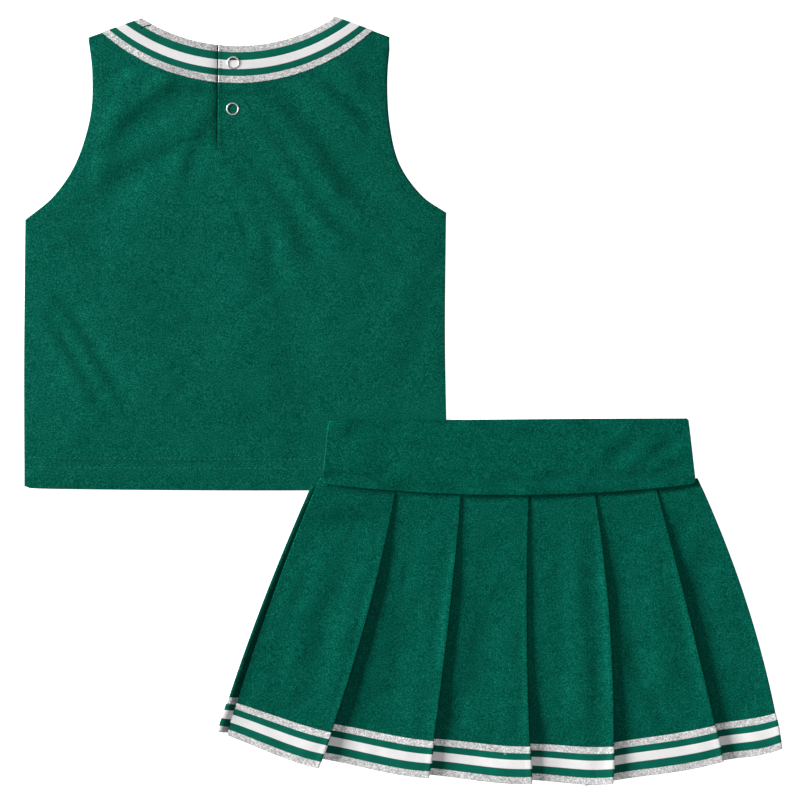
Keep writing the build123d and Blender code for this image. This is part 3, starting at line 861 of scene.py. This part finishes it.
# ---------------------------------------------------------------- the skirt: folds and surface

PLEATS = 6
WAIST_LOW, SEAM_RADIUS = (78.0, -69.3), 1114.0     # lowest point and radius of the waist seam's arc
SWINGS = [JOINTS[f"pleat_{k + 1}_swing"]["pos_m"] for k in range(PLEATS)]
# the top and foot of each fold, from the first pleat's left edge to the last one's right edge
HEADS = [(x / MM, y / MM) for x, y, _ in SWINGS] + [(215.5, -60.8)]
FEET = [(-126.7, -243.2), (-60.8, -266.2), (18.8, -273.4), (93.4, -277.4),
        (152.0, -277.4), (231.7, -261.4), (274.2, -252.2)]
BULGES = [-3.2, 4.7, 1.6, -2.3, 5.1, 1.2, 7.0]     # how far each fold bows to the right
RISES = [0.0, 6.4, 1.8, 2.0, 1.4, 0.0]     # how much higher each hem starts than its neighbour ends
# how high each fold stands, half way down and at the hem
CROWNS = [(6.2, 6.6), (4.9, 5.8), (3.2, 6.4), (5.0, 6.2), (6.0, 6.4), (4.2, 5.2)]
HEM_BAND = 27.0
SKIRT_CLOTH = 0.55   # thickness of the pleats' cloth
TUCK = 20.0          # cloth that runs on under the pleat to the left, or less where the pleat is narrow
TURNED = 12.0        # cloth turned under the first pleat's left edge
FOLD_ROLL = 0.42     # radius of the fold


def bowed_line(head, foot, at, bulge):
    """Points from head, at 0, to foot, at 1, bowing this far to the right half way."""
    return np.stack([head[0] + (foot[0] - head[0]) * at + bulge * 4 * at * (1 - at),
                     head[1] + (foot[1] - head[1]) * at], axis=-1)


def fold_line(index, share, shorten=0.0):
    """Points along a pleat's fold, from the waist seam, share 0, to the hem, share 1."""
    head, foot = np.array(HEADS[index]), np.array(FEET[index])
    at = np.asarray(share, float) * (1 - shorten / np.linalg.norm(foot - head))
    return bowed_line(head, foot, at, BULGES[index])


def over_top(x, y):
    """1 where the top's corner lies under the skirt, 0 elsewhere."""
    return (1 - smooth(30, 46, x)) * smooth(-80, -67, y)


def drape(x, y):
    """How much the skirt's front stands up over the thickest part of that corner."""
    return 2.2 * (1 - smooth(-46, 2, x)) * smooth(-92, -74, y)


def pleat_columns(index):
    """A pleat's cross-section, column by column: the part of it, and the place along that part."""
    if index == 0:
        start = [("turned", t) for t in np.linspace(1, 0, 5, endpoint=False)]
        start += [("left_roll", a) for a in np.linspace(-90, 90, 9)[1:-1]]
    else:
        start = [("tuck", t) for t in np.linspace(1, 0, 5, endpoint=False)]
    face = [("face", t) for t in np.concatenate([np.linspace(0, 0.92, 32), np.linspace(0.935, 1, 6)])]
    roll = [("roll", a) for a in np.linspace(90, -90, 9)[1:-1]]
    under = [("under", t) for t in np.linspace(0, 1, 9)]
    inner = [("inner", a) for a in np.linspace(90, -90, 7)[1:]]
    return start + face + roll + under + inner


def pleat_rise(index, share, width, drops):
    """Height of a pleat's face over its tuck: low beside its neighbour, rising to its own fold."""
    share = np.clip(share, 0, 1)
    start = 0.28 if index == 0 else 0.0
    slope = start + (1 - start) * (0.1 * share + 1.7 * share**2 - 0.8 * share**3)
    middle, foot = CROWNS[index]
    rise = 1.5 + (middle - 1.5) * smooth(0.0, 0.42, drops) + (foot - middle) * smooth(0.5, 0.9, drops)
    ridge = 0.3 * smooth(1 - 5.0 / width, 1 - 0.8 / width, share) * smooth(0, 0.6, drops)
    return rise * slope + ridge


def pleat_grid(index, drops):
    """Points of one pleat at these shares of its length, from its tuck to its inner fold."""
    left = fold_line(index, drops, RISES[index])
    right = fold_line(index + 1, drops)
    width = np.linalg.norm(right - left, axis=1)
    tuck = np.minimum(TUCK, 0.3 * width)
    columns = pleat_columns(index)
    grid = np.zeros((len(drops), len(columns), 3))
    base = 3.5 - 1.3 * smooth(0, 0.5, drops)
    gap = 0.4 + 1.8 * smooth(0.72, 0.86, drops)      # room for the ribbons inside the fold
    first = FOLD_ROLL / width if index == 0 else 0.0
    last = 1 - FOLD_ROLL / width
    calm = smooth(0.02, 0.3, drops)
    for column, (kind, value) in enumerate(columns):
        sink, drop_to, amount = 0.0, 0.0, 0.0
        if kind == "tuck":
            share = -value * tuck / width
        elif kind == "turned":
            share, sink = first + value * TURNED / width, 2 * FOLD_ROLL
        elif kind == "left_roll":
            turn = math.radians(value)
            share, sink = first * (1 - math.cos(turn)), FOLD_ROLL * (1 - math.sin(turn))
        elif kind == "face":
            share = first + (last - first) * value
        elif kind == "roll":
            turn = math.radians(value)
            share, sink = last + (1 - last) * math.cos(turn), FOLD_ROLL * (1 - math.sin(turn))
        elif kind == "under":
            share, sink = last - value * tuck / width, 2 * FOLD_ROLL
            drop_to, amount = gap, smooth(0.25, 1, value)
        else:
            turn = math.radians(value)
            share = last - (tuck + gap / 2 * math.cos(turn)) / width
            drop_to, amount = gap / 2 * (1 + math.sin(turn)), 1.0
        place = left * (1 - share[:, None]) + right * share[:, None]
        between = np.clip(share, 0, 1)
        bow = 1.6 * 6.75 * between**2 * (1 - between) * smooth(0.7, 1, drops)
        x, y = place[:, 0], place[:, 1] - bow
        level = base + pleat_rise(index, share, width, drops)
        loose = calm * smooth(0.0, 0.2, share) * (1 - smooth(0.88, 1.0, share))
        level = level + loose * (0.3 * ripple(x, y, 46, 20 + index) + 0.1 * ripple(x, y, 17, 40 + index)
                                 + creases(x, y, PLEAT_CREASES[index]))
        low = base - 0.6 * (1 - smooth(0.1, 0.4, drops))
        level = (level - sink) * (1 - amount) + (low + drop_to) * amount
        level = level - (1.5 + 0.8 * (1 - amount)) * np.exp(-((drops - 0.002) / 0.013) ** 2)
        grid[:, column] = np.column_stack([x, y, level + drape(x, y)])
    return grid


def pleat_shares(index, drops):
    """How far each point of a pleat follows its swing: not at the waist, nor in the tucked parts."""
    across = []
    for kind, value in pleat_columns(index):
        if kind == "face":
            across.append(float(smooth(0.0, 0.3, value)))
        elif kind == "roll":
            across.append(1.0)
        elif kind == "under":
            across.append(float(1 - smooth(0.0, 1.0, value)))
        else:
            across.append(0.0)
    return smooth(0.02, 0.95, drops)[:, None] * np.array(across)[None, :]


def share_rows(shares):
    """Shares for a grid sheet's points: its upper layer, then the inner points of its lower one."""
    return np.concatenate([shares.ravel(), shares[1:-1, 1:-1].ravel()])


def skirt_cloth(name, grid):
    """A pleat's own cloth, with its upper side on the grid."""
    return grid_sheet(name, grid, SKIRT_KNIT, SKIRT_CLOTH, -SKIRT_CLOTH, 0.4)


def make_pleat(index):
    """One front pleat with the three ribbons along its hem."""
    name, body = f"pleat_{index + 1}", f"front_pleat_{index + 1}"
    length = np.linalg.norm(np.array(FEET[index + 1]) - np.array(HEADS[index + 1]))
    drops = np.concatenate([np.linspace(-0.02, 0.98, 84), 1 - HEM_ROWS / length])
    cloth = skirt_cloth(f"{name}_cloth", pleat_grid(index, drops))
    set_shares(cloth, share_rows(pleat_shares(index, drops)))
    settle(cloth, "skirt_satin", name)
    for colour in BRAIDS:
        step, over = (0.8, 0.25) if colour == "silver" else (1.5, 0.0)    # silver reaches past the hem
        drops = 1 - (band_rows(colour, HEM_BAND, step)[::-1] - over) / length
        obj = ribbon(f"{name}_{colour}", colour, pleat_grid(index, drops), index)
        set_shares(obj, share_rows(pleat_shares(index, drops)))
        settle(obj, f"{colour}_braid", f"{name}_{colour}_braid")


# ---------------------------------------------------------------- the skirt: band, back and side

BAND_TOP_LEFT, BAND_TOP_RIGHT = (-53.3, -14.5), (206.9, -13.6)
BAND_FOOT_LEFT, BAND_FOOT_RIGHT = (-58.2, -59.6), (212.3, -61.2)
SIDE_TOP, SIDE_FOOT = (-67.0, -64.5), (-133.6, -240.4)
SIDE_BULGE = -3.0
SIDE_LAP = 9.0       # how far the side pleat runs under the first pleat

BAND_CREASES = [
    (5.1, 0.50, [(-34, -18), (-42, -24), (-50, -27)]),
    (4.6, 0.43, [(24, -55), (-16, -58), (-34, -54), (-52, -43)]),
    (4.6, 0.43, [(104, -22), (88, -18), (64, -19)]),
    (4.6, 0.43, [(60, -24), (40, -21), (18, -22)]),
    (5.1, 0.71, [(196, -26), (180, -38), (162, -56)]),
    (5.4, 0.64, [(170, -24), (158, -33), (142, -46)]),
    (4.6, 0.58, [(206, -40), (190, -48), (174, -58)]),
    (4.6, 0.43, [(120, -54), (96, -58), (62, -60)]),
    (4.6, 0.43, [(200, -20), (184, -19), (160, -18)]),
]

PLEAT_CREASES = [
    [(9.0, 1.50, [(-28, -80), (-45, -83), (-62, -87)]),
     (9.5, 1.38, [(-42, -106), (-54, -138), (-64, -165), (-77, -226)]),
     (5.7, 0.70, [(-72, -124), (-80, -143), (-90, -168)]),
     (5.7, 0.40, [(-88, -168), (-92, -188), (-96, -214)]),
     (6.8, 0.50, [(-20, -110), (-36, -170), (-52, -236)])],
    [(7.2, 0.50, [(32, -92), (24, -125), (19, -155), (15, -200), (10, -262)]),
     (11.3, 1.45, [(-2, -140), (-8, -177), (-20, -230)]),
     (8.5, 1.20, [(18, -74), (6, -80), (-4, -90)])],
    [(8.0, 0.91, [(58, -112), (54, -134), (52, -160)]),
     (9.0, 1.17, [(62, -150), (50, -180), (44, -214)]),
     (7.2, 1.20, [(64, -250), (50, -240), (36, -218)]),
     (6.8, 0.60, [(84, -180), (82, -215), (80, -252)])],
    [(7.7, 1.60, [(134, -66), (132, -100), (133, -140), (136, -190), (137, -262)]),
     (8.0, 1.20, [(120, -250), (106, -236), (98, -214)]),
     (9.0, 0.60, [(112, -110), (110, -150), (112, -190)])],
    [(9.0, 1.40, [(180, -82), (166, -86), (150, -92)]),
     (6.8, 1.32, [(158, -170), (166, -196), (180, -222), (196, -240)]),
     (10.3, 1.62, [(188, -130), (196, -170), (200, -216)])],
    [(8.0, 1.30, [(208, -76), (200, -84), (192, -96)]),
     (8.0, 0.81, [(220, -92), (216, -106), (214, -124)]),
     (9.0, 0.60, [(236, -150), (246, -190), (252, -230)])],
]


def band_outline(left_shift=0.0):
    """The waistband's outline with softly rounded corners."""
    corner = 3.4
    left_top = np.array(BAND_TOP_LEFT) + (left_shift, 0)
    left_foot = np.array(BAND_FOOT_LEFT) + (left_shift, 0)
    upright = (left_foot - left_top) / np.linalg.norm(left_foot - left_top)
    right_x, top_y = BAND_TOP_RIGHT
    top = curve([left_top + (corner, 0), (40.0, -14.6), (130.0, -13.9), (right_x - 1.2, top_y)])
    right = line((right_x, top_y - 1.2), BAND_FOOT_RIGHT)
    foot_x = np.linspace(BAND_FOOT_RIGHT[0], left_foot[0], 130)
    foot_y = WAIST_LOW[1] + SEAM_RADIUS - np.sqrt(SEAM_RADIUS**2 - (foot_x - WAIST_LOW[0]) ** 2)
    ends = smooth(0, 6, foot_x - left_foot[0]) * smooth(0, 4, BAND_FOOT_RIGHT[0] - foot_x)
    foot = np.column_stack([foot_x, foot_y + 1.0 * (1 - ends)])
    left = line(foot[-1], left_top + upright * corner)
    bend = curve([left_top + upright * corner, left_top + (1.0, -0.8), left_top + (corner, 0)], 0.6)
    return np.vstack([top, right, foot[1:], left[1:], bend[1:-1]])[::-1]


def band_height(x, y):
    """The waistband's front: elastic inside keeps it full, with small puckers."""
    near_edge = 0.4 + 0.6 * smooth(9, 20, np.abs(y + 38))
    folds = creases(x, y, BAND_CREASES) + 0.55 * near_edge * ripple(x, 2.2 * y, 34, 71)
    middle = 1 - ((y + 39) / 27.0) ** 2
    from_left = x - BAND_TOP_LEFT[0] - (y - BAND_TOP_LEFT[1]) * 0.109
    turn = 0.1 * np.exp(-np.maximum(from_left, 0) / 1.5)
    return 6.6 + 0.5 * drape(x, y) + 0.55 * np.clip(middle, -1, 1) + folds - turn


def band_back_height(x, y):
    """The waistband's back, which lies on the top's corner at the left."""
    return 2.0 + 1.4 * over_top(x, y)


def make_band():
    """Waistband front and back, its side seams of dark thread, which also paint a thin line of shade
    along the band's ends, and, hidden inside, its elastic.
    """
    # the front's knit is the lighter copy of the skirt's knit: painted light
    front = plan_sheet("waistband_front_cloth", band_outline(), band_height, LIT_BAND_KNIT,
                       thickness=1.8, spacing=2.0, roll=0.22)
    back = plan_sheet("waistband_back_cloth", band_outline(-0.5), band_back_height, SKIRT_KNIT,
                      thickness=1.4, spacing=3.2, roll=0.7)
    settle(front, "skirt_satin", "waistband_front", body="pleated_skirt")
    settle(back, "skirt_satin", "waistband_back", body="pleated_skirt")
    ends = {     # steps in from the band's corners, the corners, depth under its surface, and girth
        "left": ((0.15, -3.6), (0.15, 2), BAND_TOP_LEFT, BAND_FOOT_LEFT, 1.9, 3.4),
        "right": ((-1.0, -2), (-1.0, 2), BAND_TOP_RIGHT, BAND_FOOT_RIGHT, 2.5, 1.8),
    }
    # Dark tubes at the band's ends: the left one is tall and covers the band's lit left end, a painted
    # line of shade.
    for word, (from_top, from_foot, top, foot, sunk, height) in ends.items():
        path = resample(np.array([np.array(top) + from_top, np.array(foot) + from_foot]), 3)
        level = band_height(path[:, 0], path[:, 1]) - sunk
        seam = tube(f"waistband_seam_and_shade_{word}", np.column_stack([path, level]), 1.1, height, SEAM_THREAD_AND_SHADE)
        nodes = ["waistband_side_seams"] if word == "left" else []
        settle(seam, "skirt_satin", *nodes, body="pleated_skirt")
    strip = plan_sheet("waistband_elastic_cloth", inset(band_outline(), 3.0),
                       lambda x, y: band_height(x, y) - 0.7, ELASTIC,
                       thickness=0.7, spacing=4.0, roll=0.3)
    settle(strip, "elastic", "waistband_elastic", body="pleated_skirt")


def side_edge(share):
    """The skirt's left outer edge."""
    return bowed_line(SIDE_TOP, SIDE_FOOT, np.asarray(share, float), SIDE_BULGE)


def side_grid(drops):
    """The narrow side pleat: rolled at its outer edge and running under the first pleat."""
    left = side_edge(drops)
    right = fold_line(0, drops) + (SIDE_LAP, 0)
    columns = [("roll", a) for a in np.linspace(250, 90, 9)]
    columns += [("face", t) for t in np.linspace(0.04, 1, 16)]
    grid = np.zeros((len(drops), len(columns), 3))
    width = np.linalg.norm(right - left, axis=1)
    swell = 1.0 + 2.9 * smooth(0, 0.7, drops)
    for column, (kind, value) in enumerate(columns):
        if kind == "roll":
            turn = math.radians(value)
            place = left + (FOLD_ROLL * (1 + math.cos(turn)), 0)
            level = 2.3 + swell - FOLD_ROLL * (1 - math.sin(turn))
        else:
            start = left + (FOLD_ROLL, 0)
            place = start * (1 - value) + right * value
            fall = (width - SIDE_LAP) / width
            level = 2.3 + swell * (1 - smooth(0.25 * fall, 0.98 * fall, value))
        grid[:, column] = np.column_stack([place, level + drape(place[:, 0], place[:, 1])])
    return grid


def make_side_pleat():
    """The left side pleat and its ribbons."""
    length = np.linalg.norm(np.array(SIDE_FOOT) - np.array(SIDE_TOP))
    drops = np.concatenate([np.linspace(-0.01, 0.985, 70), 1 - HEM_ROWS / length])
    cloth = skirt_cloth("side_pleat_cloth", side_grid(drops))
    settle(cloth, "skirt_satin", "side_pleat", body="pleated_skirt")
    for colour in BRAIDS:
        grid = side_grid(1 - band_rows(colour, HEM_BAND, 1.0)[::-1] / length)
        obj = ribbon(f"side_pleat_{colour}", colour, grid, 77)
        settle(obj, f"{colour}_braid", f"side_pleat_{colour}_braid", body="pleated_skirt")


BACK_PINCH = np.array([72.0, 560.0])     # where the back's hem lines would meet
BACK_HEM = [(270.0, -249.5), (180.0, -264.0), (75.0, -270.5), (-30.0, -262.5), (-131.5, -239.0)]


def back_strip(colour):
    """A grid over a ribbon along the back's hem, facing down."""
    hem = curve(BACK_HEM, 3.0)
    run = unit(BACK_PINCH - hem)
    plan = hem[None] + run[None] * band_rows(colour, HEM_BAND, 1.6)[:, None, None]
    return np.concatenate([plan, np.full((*plan.shape[:2], 1), 1.0)], axis=2)


def back_skirt_height(x, y):
    """The skirt's back, which lies on that corner too."""
    return 1.66 + 0.03 * ripple(x, y, 40, 3) + 0.9 * over_top(x, y)


def make_skirt_back():
    """The back of the skirt, face down, with its hem ribbons, and the front's underfolds."""
    drops = np.linspace(0, 1, 60)
    outline = np.vstack([
        side_edge(drops[:-1]) + (1.5, 0),
        curve(BACK_HEM)[::-1],
        fold_line(PLEATS, drops)[::-1][1:] - (2.5, 0),
        np.column_stack([np.linspace(208, -60, 70), np.full(70, -63.0)]),
    ])
    cloth = plan_sheet("skirt_back", outline, back_skirt_height, SKIRT_KNIT, spacing=4.0)
    settle(cloth, "skirt_satin", "skirt_back_panel", "skirt_underfolds", "skirt_side_seams",
           body="pleated_skirt")
    for colour in BRAIDS:
        obj = ribbon(f"skirt_back_{colour}", colour, back_strip(colour))
        settle(obj, f"{colour}_braid", f"skirt_back_{colour}_braid", body="pleated_skirt")


# ---------------------------------------------------------------- build

make_back()
make_front()
make_collar()
make_underlap()
make_seams()
top_stitching = make_top_stitching()
make_snaps()
make_band()
for pleat in range(PLEATS):
    make_pleat(pleat)
make_side_pleat()
make_skirt_back()


# ---------------------------------------------------------------- floor, light and camera

def make_stage():
    """A plain white table that glows, as a light table does, so that it shows no hard shadow."""
    bpy.ops.mesh.primitive_plane_add(size=24.0, location=(0, 0, -0.0002))
    floor = bpy.context.active_object
    floor.name = "floor"
    material, _, shader, _ = graph("floor")
    fill(shader, Base_Color=(0.9, 0.9, 0.9, 1), Roughness=0.9, Specular_IOR_Level=0.1,
         Emission_Color=(1, 1, 1, 1), Emission_Strength=1.0)
    floor.data.materials.append(material)


def area_light(name, place, size, power):
    """A square light that faces the origin."""
    data = bpy.data.lights.new(name, "AREA")
    data.shape = "RECTANGLE"
    data.size = data.size_y = size
    data.energy = power
    obj = bpy.data.objects.new(name, data)
    obj.location = place
    obj.rotation_euler = (-Vector(place)).to_track_quat("-Z", "Y").to_euler()
    bpy.context.scene.collection.objects.link(obj)


def make_lights():
    """A strong key light from far to the left, a weak one overhead and an even sky."""
    area_light("key", (-13.8, 4.2, 6.0), 6.1, 4900)
    area_light("overhead", (0, 0, 3.8), 1.6, 24)
    world = bpy.data.worlds.new("studio")
    world.use_nodes = True
    sky = world.node_tree.nodes["Background"].inputs
    sky["Color"].default_value = (1, 1, 1, 1)
    sky["Strength"].default_value = 0.125
    bpy.context.scene.world = world
    bpy.context.scene.view_settings.view_transform = "Standard"


def make_camera():
    """Straight above, with a long lens."""
    data = bpy.data.cameras.new("camera")
    data.lens, data.sensor_width = 135, 36
    data.clip_end = 50
    camera = bpy.data.objects.new("camera", data)
    view_width = 0.58     # metres across the picture
    camera.location = (-0.0018, -0.0004, view_width * data.lens / data.sensor_width)
    bpy.context.scene.collection.objects.link(camera)
    bpy.context.scene.camera = camera


make_stage()
make_lights()
make_camera()
